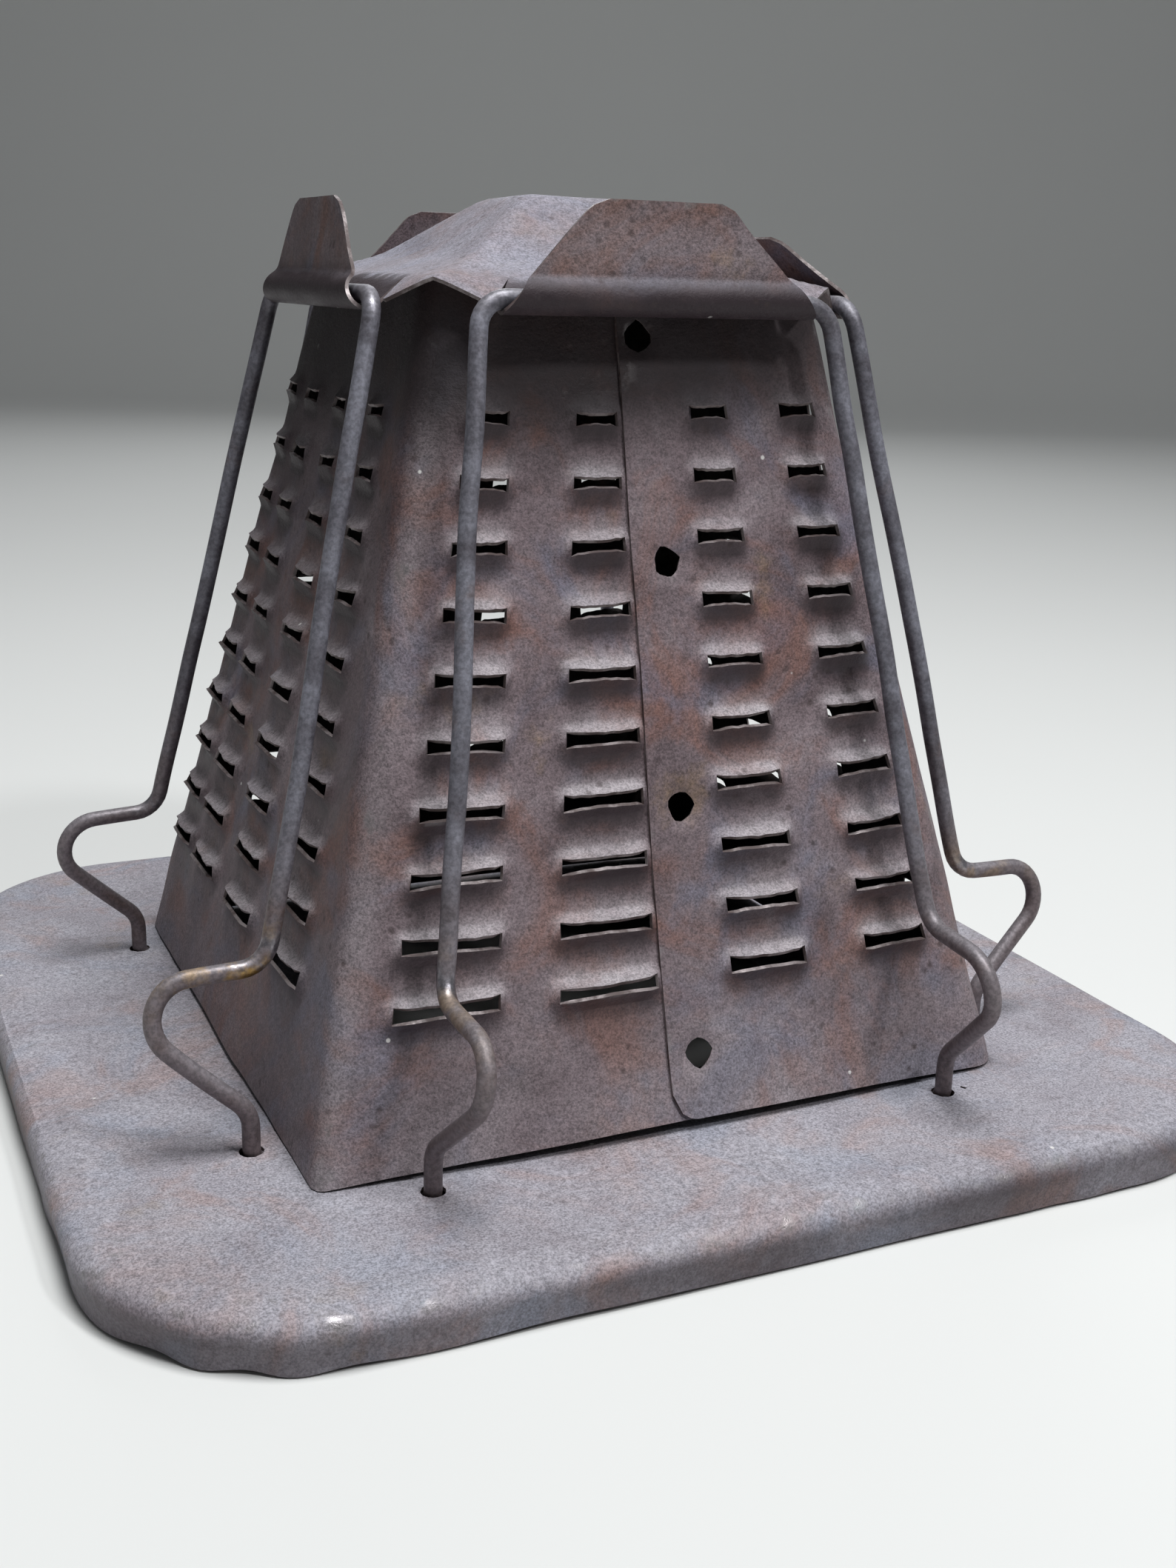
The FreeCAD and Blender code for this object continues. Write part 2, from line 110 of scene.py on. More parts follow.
def mesh_object(name, points, faces, materials, attributes):
    """A smooth-shaded object from points in millimetres about the tower's axis.

    attributes gives each point's wear, rust, dust and soot, which the materials read; in places
    the dust is a painted highlight and the soot is painted shade.
    """
    mesh = bpy.data.meshes.new(name)
    metres = np.asarray(points, float) * MM + np.array(ORIGIN)
    mesh.from_pydata(metres.tolist(), [], [list(map(int, f)) for f in faces])
    for key, values in attributes.items():
        layer = mesh.attributes.new(key, "FLOAT", "POINT")
        layer.data.foreach_set("value", np.asarray(values, np.float32))
    for material in materials:
        mesh.materials.append(material)
    mesh.validate()
    mesh.shade_smooth()
    return placed_object(name, mesh)


def weld(obj, distance):
    """Join points that lie within a distance and drop loose ones."""
    work = bmesh.new()
    work.from_mesh(obj.data)
    bmesh.ops.remove_doubles(work, verts=work.verts, dist=distance * MM)
    loose = [v for v in work.verts if not v.link_faces]
    bmesh.ops.delete(work, geom=loose, context="VERTS")
    work.to_mesh(obj.data)
    work.free()


def thicken(obj, wall):
    """Give a single skin its sheet's thickness, inwards.

    The cut edge takes the object's second material and the inside its third.
    """
    solid = obj.modifiers.new("sheet", "SOLIDIFY")
    solid.thickness = wall * MM
    solid.offset = -1
    solid.use_even_offset = False
    solid.material_offset_rim = 1
    solid.material_offset = 2
    bpy.context.view_layer.update()
    evaluated = obj.evaluated_get(bpy.context.evaluated_depsgraph_get())
    mesh = bpy.data.meshes.new_from_object(evaluated)
    obj.modifiers.clear()
    obj.data = mesh
    mesh.set_sharp_from_angle(angle=math.radians(SHEET_CREASE))


def grid_faces(columns, rows, start=0):
    """The quads of a grid whose points run row by row within each column."""
    i, j = np.meshgrid(np.arange(columns - 1), np.arange(rows - 1), indexing="ij")
    corner = (start + i * rows + j).ravel()
    return np.stack([corner, corner + rows, corner + rows + 1, corner + 1], axis=1)


def punch(flat, faces, centre, outline):
    """Open a hole in a flattened mesh: drop the faces in it and move its border onto the outline.

    outline gives the hole's radius at an array of angles. Returns the faces that stay.
    """
    middles = flat[faces].mean(axis=1) - centre
    inside = np.hypot(*middles.T) < outline(np.arctan2(middles[:, 1], middles[:, 0]))
    border = np.intersect1d(faces[inside], faces[~inside])
    spokes = flat[border] - centre
    angles = np.arctan2(spokes[:, 1], spokes[:, 0])
    flat[border] = centre + np.stack([np.cos(angles), np.sin(angles)], 1) * outline(angles)[:, None]
    return faces[~inside]


def finish_piece(obj, node):
    """Put a piece on the root body in place of its CAD node."""
    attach(obj, "root")
    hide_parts(node)


# ---------------------------------------------------------------- materials


class Nodes:
    """A short way to write a material's node tree."""

    def __init__(self, name):
        self.material = bpy.data.materials.new(name)
        self.material.use_nodes = True
        self.tree = self.material.node_tree
        self.shader = self.tree.nodes["Principled BSDF"]
        self.place = self.add("ShaderNodeTexCoord").outputs["Object"]

    def add(self, kind, **settings):
        node = self.tree.nodes.new(kind)
        for key, value in settings.items():
            setattr(node, key, value)
        return node

    def feed(self, socket, value):
        """Give a socket another's output, a number, or a colour as red, green and blue."""
        if isinstance(value, bpy.types.NodeSocket):
            self.tree.links.new(value, socket)
        else:
            socket.default_value = (*value, 1.0) if isinstance(value, tuple) else value

    def noise(self, scale, detail=4.0, roughness=0.55, distortion=0.0, shift=0.0, stretch=None):
        """Noise from 0 to 1 over the piece; scale is lumps for each metre."""
        place = self.place
        if shift or stretch:
            mapping = self.add("ShaderNodeMapping")
            self.feed(mapping.inputs["Vector"], place)
            mapping.inputs["Location"].default_value = (shift, shift * 0.7, shift * 1.3)
            mapping.inputs["Scale"].default_value = stretch or (1, 1, 1)
            place = mapping.outputs["Vector"]
        node = self.add("ShaderNodeTexNoise")
        self.feed(node.inputs["Vector"], place)
        settings = (scale, detail, roughness, distortion)
        for key, number in zip(("Scale", "Detail", "Roughness", "Distortion"), settings):
            node.inputs[key].default_value = number
        return node.outputs["Fac"]

    def cells(self, scale, shift=0.0):
        """Distance from the nearest of many scattered points."""
        mapping = self.add("ShaderNodeMapping")
        self.feed(mapping.inputs["Vector"], self.place)
        mapping.inputs["Location"].default_value = (shift, shift, shift)
        node = self.add("ShaderNodeTexVoronoi")
        self.feed(node.inputs["Vector"], mapping.outputs["Vector"])
        node.inputs["Scale"].default_value = scale
        return node.outputs["Distance"]

    def span(self, value, low, high, out_low=0.0, out_high=1.0, smooth=True):
        """Carry a value from one range to another, held at the ends."""
        node = self.add("ShaderNodeMapRange", clamp=True)
        if smooth:
            node.interpolation_type = "SMOOTHSTEP"
        self.feed(node.inputs["Value"], value)
        ends = {"From Min": low, "From Max": high, "To Min": out_low, "To Max": out_high}
        for key, number in ends.items():
            node.inputs[key].default_value = number
        return node.outputs["Result"]

    def math(self, operation, first, second):
        node = self.add("ShaderNodeMath", operation=operation)
        self.feed(node.inputs[0], first)
        self.feed(node.inputs[1], second)
        return node.outputs[0]

    def mix(self, amount, first, second, blend="MIX"):
        node = self.add("ShaderNodeMix", data_type="RGBA", blend_type=blend)
        self.feed(node.inputs[0], amount)
        self.feed(node.inputs[6], first)
        self.feed(node.inputs[7], second)
        return node.outputs[2]

    def shaded(self, skin, shade):
        """A colour times a grey."""
        tint = self.add("ShaderNodeCombineColor")
        for channel in tint.inputs:
            self.feed(channel, shade)
        return self.mix(1.0, skin, tint.outputs[0], blend="MULTIPLY")

    def surface(self, name, value):
        """Feed one input of the material's shader."""
        self.feed(self.shader.inputs[name], value)

    def attribute(self, name):
        return self.add("ShaderNodeAttribute", attribute_name=name).outputs["Fac"]

    def normal_up(self):
        """How far the surface faces upwards, from -1 to 1."""
        split = self.add("ShaderNodeSeparateXYZ")
        self.feed(split.inputs[0], self.add("ShaderNodeNewGeometry").outputs["Normal"])
        return split.outputs["Z"]

    def height(self):
        split = self.add("ShaderNodeSeparateXYZ")
        self.feed(split.inputs[0], self.place)
        return split.outputs["Z"]

    def bump(self, height, strength, distance, below=None):
        node = self.add("ShaderNodeBump")
        node.inputs["Strength"].default_value = strength
        node.inputs["Distance"].default_value = distance
        self.feed(node.inputs["Height"], height)
        if below is not None:
            self.feed(node.inputs["Normal"], below)
        return node.outputs["Normal"]


def aged_tin(name, dark, mid, light, rust, blue, dust_and_highlight, dust_share, sheen, smoke_and_shade_band=None, pitting=0.6):
    """Old tinplate: mottled oxide, rust and blue heat colours, grey dust and fine specks.

    dust_share is how much dust lies on level metal; sheen is how far worn edges shine blue-green;
    a band of two heights in metres, when given, darkens the metal between them with smoke and with
    painted shade under the cap's overhang; pitting is how dark its pits are.
    """
    n = Nodes(name)
    clouds = n.noise(38, detail=8, roughness=0.62, distortion=0.6)
    skin = n.mix(n.span(clouds, 0.30, 0.52), dark, mid)
    skin = n.mix(n.span(clouds, 0.50, 0.74), skin, light)
    rusty = n.span(n.noise(42, detail=7, roughness=0.6, distortion=1.1, shift=3.1), 0.46, 0.66, 0, 0.75)
    skin = n.mix(rusty, skin, rust)
    bluish = n.span(n.noise(46, detail=6, roughness=0.55, distortion=0.8, shift=8.4), 0.49, 0.68, 0, 0.6)
    skin = n.mix(bluish, skin, blue)
    ochre = n.span(n.noise(55, detail=6, roughness=0.6, shift=14.9), 0.62, 0.76, 0, 0.5)
    skin = n.mix(ochre, skin, (0.235, 0.150, 0.070))

    up = n.span(n.normal_up(), 0.10, 0.95)
    patchy = n.span(n.noise(70, detail=7, roughness=0.65, shift=5.5), 0.25, 0.70, 0.35, 1.0)
    lying = n.math("ADD", n.math("MULTIPLY", up, dust_share), n.attribute("dust_and_highlight"))
    settled = n.math("MULTIPLY", lying, patchy)
    skin = n.mix(settled, skin, dust_and_highlight)

    grain = n.noise(2500, detail=2, roughness=0.7)
    coarse = n.noise(800, detail=3, roughness=0.7, shift=2.2)
    shade = n.math("ADD", n.span(grain, 0.30, 0.70, 0.66, 1.32), n.span(coarse, 0.3, 0.7, -0.14, 0.16))
    skin = n.shaded(skin, shade)

    # Darker where the point attribute asks: soot, and painted shade under lips and rolls and on the unlit
    # left side.
    blackened_and_shaded = n.math("MULTIPLY", n.attribute("soot_and_shade"), n.span(clouds, 0.3, 0.7, 0.88, 0.62))
    skin = n.mix(blackened_and_shaded, skin, (0.030, 0.020, 0.024))

    # Smoke and painted shade under the cap's overhang: the metal darkens across a band of heights.
    if smoke_and_shade_band:
        smoke_and_cap_shade = n.span(n.height(), smoke_and_shade_band[0], smoke_and_shade_band[1], 0, 1)
        ragged = n.span(n.noise(45, detail=6, shift=21.0, stretch=(1, 1, 0.35)), 0.2, 0.8, -0.25, 0.25)
        smoke_and_cap_shade = n.span(n.math("ADD", smoke_and_cap_shade, ragged), 0.1, 1.0, 0, 0.92)
        skin = n.mix(smoke_and_cap_shade, skin, (0.016, 0.011, 0.012))

    uneven = n.span(n.noise(210, detail=5, shift=1.7), 0.3, 0.7, -0.55, 0.35)
    rubbed = n.span(n.math("ADD", n.attribute("wear"), uneven), 0.35, 0.95)
    bare = n.mix(n.span(bluish, 0, 0.6, 0, sheen), (0.33, 0.31, 0.31), (0.16, 0.24, 0.27))
    skin = n.mix(n.math("MULTIPLY", rubbed, 0.75), skin, bare)

    chips = n.span(n.cells(125, shift=4.0), 0.035, 0.055, 1, 0, smooth=False)
    rare = n.span(n.noise(90, detail=1, shift=9.9), 0.53, 0.57)
    specks = n.math("MULTIPLY", n.math("MULTIPLY", chips, rare), 0.85)
    skin = n.mix(specks, skin, (0.72, 0.70, 0.68))
    pits = n.span(n.cells(330, shift=7.0), 0.10, 0.26, pitting, 0, smooth=False)
    pitted = n.math("MULTIPLY", pits, n.span(n.noise(60, detail=3, shift=6.6), 0.48, 0.62))
    skin = n.mix(pitted, skin, (0.045, 0.030, 0.030))

    n.surface("Base Color", skin)
    n.surface("Specular IOR Level", 0.35)
    n.surface("Metallic", n.span(rubbed, 0, 1, 0.12, 0.80))
    blur = n.math("ADD", n.span(clouds, 0.3, 0.7, 0.50, 0.68), n.span(grain, 0.3, 0.7, -0.06, 0.08))
    blur = n.math("ADD", blur, n.math("MULTIPLY", settled, 0.22))
    n.surface("Roughness", n.math("SUBTRACT", blur, n.math("MULTIPLY", rubbed, 0.26)))
    dents = n.bump(n.noise(95, detail=3, shift=11.0), 0.20, 0.0010)
    pebbled = n.bump(n.math("ADD", coarse, n.math("MULTIPLY", pitted, -1.2)), 0.35, 0.00035, dents)
    n.surface("Normal", n.bump(grain, 0.45, 0.00016, pebbled))
    return n.material


def raw_edge(name):
    """The sheared edge of the sheet: bare metal, with grime in places."""
    n = Nodes(name)
    grime = n.noise(160, detail=5, roughness=0.7, shift=2.5)
    skin = n.mix(n.span(grime, 0.38, 0.58), (0.25, 0.215, 0.215), (0.075, 0.052, 0.050))
    n.surface("Base Color", skin)
    n.surface("Metallic", n.span(grime, 0.38, 0.58, 0.35, 0.10))
    n.surface("Roughness", n.span(grime, 0.3, 0.7, 0.38, 0.65))
    n.surface("Normal", n.bump(n.noise(1400, detail=2), 0.4, 0.00015))
    return n.material


def soot_and_shade(name):
    """The inside of the tower and the pan: near-black soot and painted shade, with rusty patches."""
    n = Nodes(name)
    clouds = n.noise(48, detail=7, roughness=0.65, distortion=0.7)
    skin = n.mix(n.span(clouds, 0.32, 0.68), (0.014, 0.011, 0.011), (0.045, 0.034, 0.033))
    rusty = n.span(n.noise(70, detail=6, shift=6.1), 0.56, 0.72, 0, 0.6)
    skin = n.mix(rusty, skin, (0.070, 0.036, 0.024))
    n.surface("Base Color", skin)
    n.surface("Roughness", n.span(clouds, 0.3, 0.7, 0.95, 0.72))
    n.surface("Normal", n.bump(n.noise(900, detail=3), 0.5, 0.0002))
    return n.material


def rack_wire(name):
    """Steel wire: mottled bluish grey, brown near its feet, worn shiny where it is bent."""
    n = Nodes(name)
    clouds = n.noise(60, detail=7, roughness=0.65, distortion=0.5)
    skin = n.mix(n.span(clouds, 0.34, 0.66), (0.088, 0.080, 0.094), (0.208, 0.208, 0.245))
    rusty = n.span(n.noise(75, detail=6, roughness=0.65, shift=4.4), 0.54, 0.74, 0, 0.55)
    skin = n.mix(rusty, skin, (0.150, 0.085, 0.060))
    browned = n.span(n.height(), 0.034, 0.072, 0.62, 0)
    skin = n.mix(browned, skin, (0.165, 0.122, 0.118))
    up = n.span(n.normal_up(), 0.15, 0.95, 0, 0.45)
    skin = n.mix(up, skin, (0.27, 0.26, 0.28))
    uneven = n.span(n.noise(260, detail=4, shift=3.3), 0.3, 0.7, -0.5, 0.3)
    rubbed = n.span(n.math("ADD", n.attribute("wear"), uneven), 0.30, 0.95)
    skin = n.mix(n.math("MULTIPLY", rubbed, 0.7), skin, (0.34, 0.33, 0.36))
    yellow = n.math("MULTIPLY", n.attribute("rust"), n.span(n.noise(190, detail=5, shift=5.0), 0.42, 0.60))
    skin = n.mix(yellow, skin, (0.33, 0.20, 0.055))
    grain = n.noise(1300, detail=2, roughness=0.7)
    skin = n.shaded(skin, n.span(grain, 0.3, 0.7, 0.74, 1.22))
    n.surface("Base Color", skin)
    n.surface("Metallic", n.span(rubbed, 0, 1, 0.35, 0.92))
    blur = n.span(clouds, 0.3, 0.7, 0.42, 0.60)
    n.surface("Roughness", n.math("SUBTRACT", blur, n.math("MULTIPLY", rubbed, 0.16)))
    drawn = n.bump(n.noise(300, detail=3), 0.25, 0.0003)
    n.surface("Normal", n.bump(grain, 0.35, 0.00012, drawn))
    return n.material


# ---------------------------------------------------------------- tower

SLOPE = 0.2225  # inward lean of a face for each millimetre of height
LEAN = math.atan(SLOPE)
CORNER_HEIGHTS = (0, 45, 137)
CORNER_RADII = (7.0, 8.0, 9.0)
CREASED_RADII = (2.2, 7.5, 9.0)  # the front left corner, whose foot is nearly sharp
LAP_GAP = 0.05
SEAM_EDGE = -4.0
INNER_END = 8.0
SEAM_CORNER = 4.5  # radius of the outer sheet's bottom corner
CLINCH_X = 1.8
CLINCHES = ((CLINCH_X, 12), (CLINCH_X, 53), (CLINCH_X, 93), (-1.2, 129))
CLINCH_RADIUS = 2.35
CLINCH_REACH = 3.0  # half the width of the finely divided strip that the clinches lie in

ROWS = 10
FIRST_ROW = 26.0
PITCH = 10.1
SAG = 1.0
SEAM_LIFT = 0.9
LIP = 2.7  # how proud the lowest louvres stand
GAPE = 1.2  # how far rows of points keep from a slit's middle
TOP_WIDTH = 7.2
INNER_TURN = 4  # the inner sheet of the lap lies on the front face again, a full turn on

# Columns of louvres anticlockwise round the tower: middle as a share of the face's half width,
# and the width of the lowest louvre.
COLUMNS = {
    "front": ((-0.705, 18), (-0.237, 18), (0.266, 15), (0.705, 13)),
    "right": ((-0.70, 14), (-0.22, 15), (0.24, 15), (0.70, 14)),
    "back": ((-0.70, 14), (-0.24, 15), (0.24, 15), (0.70, 14)),
    "left": ((-0.75, 14), (-0.42, 15.5), (0.03, 17), (0.54, 17)),
}


def face_half(height):
    return TOWER_HALF - SLOPE * height


def corner_radius(turn, across, height):
    """Radius of the corner that ends this half of a face."""
    left_face = (turn == 3) & (across > 0)
    front_face = (turn % 4 == 0) & (across < 0)
    creased = np.interp(height, CORNER_HEIGHTS, CREASED_RADII)
    return np.where(left_face | front_face, creased, np.interp(height, CORNER_HEIGHTS, CORNER_RADII))


def on_tower(turn, across, height, out):
    """Points on the tower's skin.

    across runs from the middle of a face to the middle of a corner, where it equals the face's
    half width; out is how proud the skin is.
    """
    radius = corner_radius(turn, across, height)
    flat = face_half(height) - radius
    side = np.sign(across)
    bend = np.clip((np.abs(across) - flat) / radius, 0, 1) * math.pi / 4
    normal_x, normal_y = side * np.sin(bend), -np.cos(bend)
    spoke = radius + out * math.cos(LEAN)
    straight = np.abs(across) < flat
    x = np.where(straight, across, side * flat + normal_x * spoke)
    y = -flat + normal_y * spoke
    z = height + out * math.sin(LEAN)
    angle = turn * math.pi / 2
    c, s = np.cos(angle), np.sin(angle)
    return np.stack([c * x - s * y, s * x + c * y, z], axis=1)


class Louvres:
    """One column of louvres, with the small differences between its rows."""

    def __init__(self, middle, width):
        self.middle = middle
        self.narrowing = (width - TOP_WIDTH) / (PITCH * (ROWS - 1))
        self.width = width + self.narrowing * FIRST_ROW
        self.shift = [random.uniform(-0.2, 0.2) for _ in range(ROWS)]
        self.proud = [random.uniform(0.85, 1.05) * (1 - 0.055 * row) for row in range(ROWS)]
        self.tilt = [random.uniform(-0.022, 0.022) for _ in range(ROWS)]
        self.mouth = [random.uniform(0.92, 1.12) * (1 - 0.015 * row) for row in range(ROWS)]

    def edge(self, sign):
        """The left or right edge: its place at the tower's foot and its change with height."""
        place = self.middle * TOWER_HALF + sign * self.width / 2
        return place, -self.middle * SLOPE - sign * self.narrowing / 2


def strip_lines(louvres):
    """The vertical lines of the developed sheet, from the outer end of the lap to the inner end.

    Each is (turn, place at the foot, change with height, louvres, share across them, opens right).
    """
    corner = (TOWER_HALF, -SLOPE)
    seam = (SEAM_EDGE, -1 / TOWER_HEIGHT)
    near, far = (CLINCH_X - CLINCH_REACH, 0.0), (CLINCH_X + CLINCH_REACH, 0.0)

    def section(turn, first, chosen, last):
        knots = [(*k, None) for k in first]
        for column in chosen:
            knots += [(*column.edge(-1), column), (*column.edge(1), None)]
        return turn, knots + [(*k, None) for k in last]

    front = louvres["front"]
    sections = [section(0, [seam, near, far], front[2:], [corner])]
    left_corner = (-corner[0], -corner[1])
    for turn, side in enumerate(SIDES[1:], start=1):
        sections.append(section(turn, [left_corner], louvres[side], [corner]))
    sections.append(section(INNER_TURN, [left_corner], front[:2], [seam, near, far, (INNER_END, 0.0)]))

    lines = []
    spacing, middle_height = 1.45, TOWER_HEIGHT / 2
    for turn, knots in sections:
        closed_by = None
        for (place, change, column), (end, end_change, _) in zip(knots, knots[1:]):
            gap = abs(end - place + (end_change - change) * middle_height)
            cells = 10 if column else max(2, round(gap / spacing))
            if (end, end_change) in (near, far) and (place, change) in (near, far):
                cells = 6
            for k in range(cells):
                t = k / cells
                spot = (turn, place + (end - place) * t, change + (end_change - change) * t)
                if column:
                    lines.append((*spot, column, 2 * t - 1, True))
                elif k == 0 and closed_by:
                    lines.append((*spot, closed_by, 1.0, False))
                else:
                    lines.append((*spot, None, 0.0, False))
            closed_by = column
    lines.append((INNER_TURN, INNER_END, 0.0, None, 0.0, False))
    return lines


def row_plan():
    """The grid's rows: (zone, louvre row, share of the way from the slit's lip, below or above)."""
    spread = (0, 0.08, 0.18, 0.31, 0.52)
    plan = [("foot", 0, t, 0) for t in np.linspace(0, 1, 17)[:-1]]
    for row in range(ROWS):
        plan.append(("between", row, 1.0, -1))
        plan += [("lip", row, share, -1) for share in reversed(spread)]
        plan += [("lip", row, share, 1) for share in spread]
    return plan + [("head", ROWS - 1, t, 0) for t in np.linspace(0, 1, 13)]


def row_middles(turn, place, columns):
    """Height of each row's middle at one vertical line."""
    share = max(-1, min(1, place / TOWER_HALF))
    lift = SEAM_LIFT if turn == 0 else 0.0
    spots = [-1] + [c.middle for c in columns] + [1]
    middles = []
    for row in range(ROWS):
        shifts = [0] + [c.shift[row] for c in columns] + [0]
        height = FIRST_ROW + PITCH * row - SAG * (1 - share**2) + lift
        middles.append(height + np.interp(share, spots, shifts))
    return middles


def foot_height(turn, place):
    """How far the sheet's bottom edge stands off the pan."""
    share = place / TOWER_HALF
    sprung = 1.2 if turn in (0, INNER_TURN) else 0.35
    rise = 0.15 + sprung * (1 - share**2)
    from_seam = place - SEAM_EDGE
    if turn == 0 and from_seam < SEAM_CORNER:
        rise += SEAM_CORNER - math.sqrt(SEAM_CORNER**2 - (SEAM_CORNER - from_seam) ** 2)
    return rise


def line_heights(turn, place, column, share, columns, plan):
    """Heights of all the rows at one vertical line."""
    middles = row_middles(turn, place, columns)
    foot = foot_height(turn, place)
    heights = []
    for zone, row, step, sign in plan:
        middle = middles[row]
        gape = GAPE
        if column:
            gape = (1.05 + 0.24 * share**2) * column.mouth[row]
            middle += column.tilt[row] * share * column.width / 2
        if zone == "foot":
            heights.append(foot + (middles[0] - PITCH / 2 - foot) * step)
        elif zone == "head":
            last = middles[-1] + PITCH / 2
            heights.append(last + (TOWER_HEIGHT - last) * step)
        elif zone == "between":
            below = middles[row - 1] if row else middles[0] - PITCH
            heights.append((middles[row] + below) / 2)
        else:
            torn = random.uniform(-0.09, 0.09) if column and step == 0 else 0.0
            heights.append(middle + sign * (gape + (PITCH / 2 - gape) * step) + torn)
    return heights


def lip_profile(turn, across, height, louvres):
    """How far louvres push each point of a vertical line outwards; soot and painted shade below, dust
    above.
    """
    out, soot_and_shade_share, dust_share = (np.zeros_like(height) for _ in range(3))
    columns = louvres[SIDES[turn % 4]]
    for column in columns:
        if turn == 0 and column.middle < 0 or turn == INNER_TURN and column.middle > 0:
            continue
        centre = column.middle * face_half(height)
        beyond = np.abs(across - centre) - (column.width - column.narrowing * height) / 2
        ends = 1 - smoothstep(-1.3, 1.9, beyond)
        for row in range(ROWS):
            middle = row_middles(turn, column.middle * TOWER_HALF, columns)[row]
            away = height - middle
            fall = 1 - np.clip((np.abs(away) - 0.8) / 2.1, 0, 1)
            out += LIP * column.proud[row] * ends * fall ** np.where(away > 0, 1.3, 1.0)
            # Soot and painted shade below each slit, under its lower lip.
            below = smoothstep(-5.6, -2.6, away) * (away < 0)
            soot_and_shade_share += below * ends
            dust_share += (1 - smoothstep(2.2, 4.2, away)) * (away > 0) * ends
    return out, soot_and_shade_share, dust_share


def clinch_outline(seed, spread):
    """A torn hole, between a diamond and a hexagon, as a radius at each angle."""
    skew = 0.35 * math.sin(seed * 2.1)

    def outline(angles):
        a = angles + skew
        pointed = (np.abs(np.cos(a)) ** 1.45 + np.abs(np.sin(a)) ** 1.45) ** (-1 / 1.45)
        return CLINCH_RADIUS * 1.12 * spread * pointed * (1 + 0.05 * np.sin(3 * angles + seed))

    return outline


def build_tower(materials):
    louvres = {side: [Louvres(*c) for c in COLUMNS[side]] for side in SIDES}
    lines = strip_lines(louvres)
    plan = row_plan()
    rows = len(plan)

    drawn = []
    for line_turn, place, change, column, share, _ in lines:
        columns = louvres[SIDES[line_turn % 4]]
        z = np.array(line_heights(line_turn, place, column, share, columns, plan))
        x = place + change * z
        drawn.append((np.full(rows, line_turn), x, z, *lip_profile(line_turn, x, z, louvres)))
    turn, across, height, out, soot_and_shade_level, dust_and_highlight_level = (np.concatenate(v) for v in zip(*drawn))
    wear = 0.42 * smoothstep(1.4, 2.3, out)

    faces = grid_faces(len(lines), rows)
    slit_rows = [j for j in range(rows - 1) if plan[j][0] == "lip" and plan[j][2] == 0 and plan[j][3] < 0]
    open_lines = [i for i, line in enumerate(lines) if line[5]]
    slit_corners = [i * rows + j for i in open_lines for j in slit_rows]
    faces = faces[~np.isin(faces[:, 0], slit_corners)]

    apart = 1000.0  # keeps the faces, and the two layers of the lap, apart when flattened
    flat = np.stack([across + turn * apart, height], axis=1)
    for seed, (place, clinch) in enumerate(CLINCHES):
        for layer in (0, INNER_TURN):
            centre = np.array([place + layer * apart, clinch])
            faces = punch(flat, faces, centre, clinch_outline(seed, 1.2 if layer else 1.0))
            rim = np.hypot(*(flat - centre).T) - CLINCH_RADIUS
            out -= 0.55 * np.exp(-np.clip(rim, 0, None) / 1.1)
            if not layer:
                wear += 0.35 * np.exp(-np.clip(rim, 0, None) / 0.9)
    across, height = flat[:, 0] - turn * apart, flat[:, 1]

    # The outer sheet of the lap, then the gentle belly and flare of the faces, then dents.
    half = face_half(height)
    lapped = (turn == 0) * (1 - smoothstep(12, TOWER_HALF * 0.55, across))
    out += (SHEET + LAP_GAP) * lapped
    wear += 0.45 * (turn == 0) * np.exp(-np.abs(across - SEAM_EDGE) / 0.9)
    share = np.clip(across / half, -1, 1)
    out += 0.6 * (1 - share**2) * (1 - height / TOWER_HEIGHT)
    out += 2.2 * (turn % 4 == 0) * (1 - share**2) * np.exp(-height / 11)
    nominal = on_tower(turn, across, height, np.zeros_like(out))
    out += 0.45 * wobble(nominal, 34, 1) + 0.13 * wobble(nominal, 11, 2)
    corner = 1 - smoothstep(0, 6, half - np.abs(across))
    wear += 0.42 * corner * np.clip(0.4 + wobble(nominal, 22, 3), 0, 1)
    points = on_tower(turn, across, height, out)

    # Painted shade: the unlit left face darkened, more so towards the top.
    soot_and_shade_level += (turn == 3) * (0.18 + 0.55 * smoothstep(45, 118, height)) * (1 - corner)
    # Dust on the lips' tops and towards the foot, and a lighter band down the front left corner that is
    # dust and painted highlight.
    folded = (turn == 3) & (across > 0) | (turn == INNER_TURN) & (across < 0)
    dust_and_highlight_level = 0.45 * dust_and_highlight_level + 0.42 * np.exp(-height / 22) + 0.25 * folded * corner
    soot_and_shade_level *= 1 - 0.75 * np.clip(dust_and_highlight_level, 0, 1)
    attributes = {"wear": wear, "soot_and_shade": soot_and_shade_level, "dust_and_highlight": dust_and_highlight_level}
    tower = mesh_object("tower_sheet", points, faces, materials, attributes)
    weld(tower, 0.001)
    thicken(tower, SHEET)
    finish_piece(tower, "tower_shell")


# ---------------------------------------------------------------- pan

PAN_CORNER = 37.0
PAN_EDGE = 4.0
PAN_SHEET = 0.7
BURNER_RADIUS = 48.0
FOOT_OUT, FOOT_SIDE = 71.4, 48.3
FOOT_HOLE_RADIUS = 2.1
PIN_HOLE_RADIUS, PIN_HOLE_GAP = 0.65, 4.5
RIDGE_INSET, RIDGE_RISE = 7.5, 0.28  # the faint ridge that runs round the top, inside its edge


